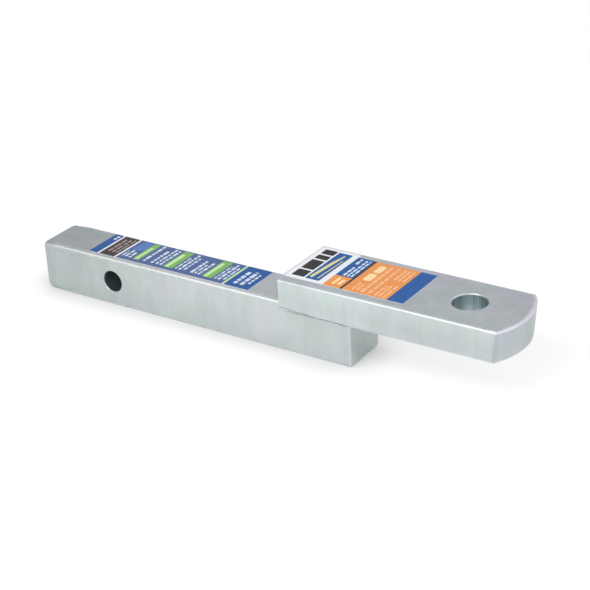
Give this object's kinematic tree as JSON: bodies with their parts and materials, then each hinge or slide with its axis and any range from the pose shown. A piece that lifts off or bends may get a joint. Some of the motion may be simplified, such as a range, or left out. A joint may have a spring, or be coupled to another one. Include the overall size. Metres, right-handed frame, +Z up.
{
  "type": "trailer drawbar",
  "caption": "Fixed trailer drawbar: a solid square shank with a cross hole for the hitch pin and a flat welded tongue with an upright hole for the tow ball.",
  "frame": {"origin": "centre of the hitch pin's cross hole, on the shank's centre line", "axes": "+X along the shank towards the tongue's nose, +Y along the pin hole, +Z up through the ball hole"},
  "size_m": [0.3332, 0.0512, 0.0514],
  "materials": {
    "silver_coat": "silver coat over rolled steel bar, satin",
    "coated_weld": "weld bead under the same silver coat",
    "label_film": "printed label film, semi-gloss"
  },
  "bodies": {
    "root": {"shank": "silver_coat", "tongue": "silver_coat", "rear_weld": "coated_weld", "end_weld": "coated_weld", "shank_label": "label_film", "tongue_label": "label_film"}
  },
  "joints": []
}
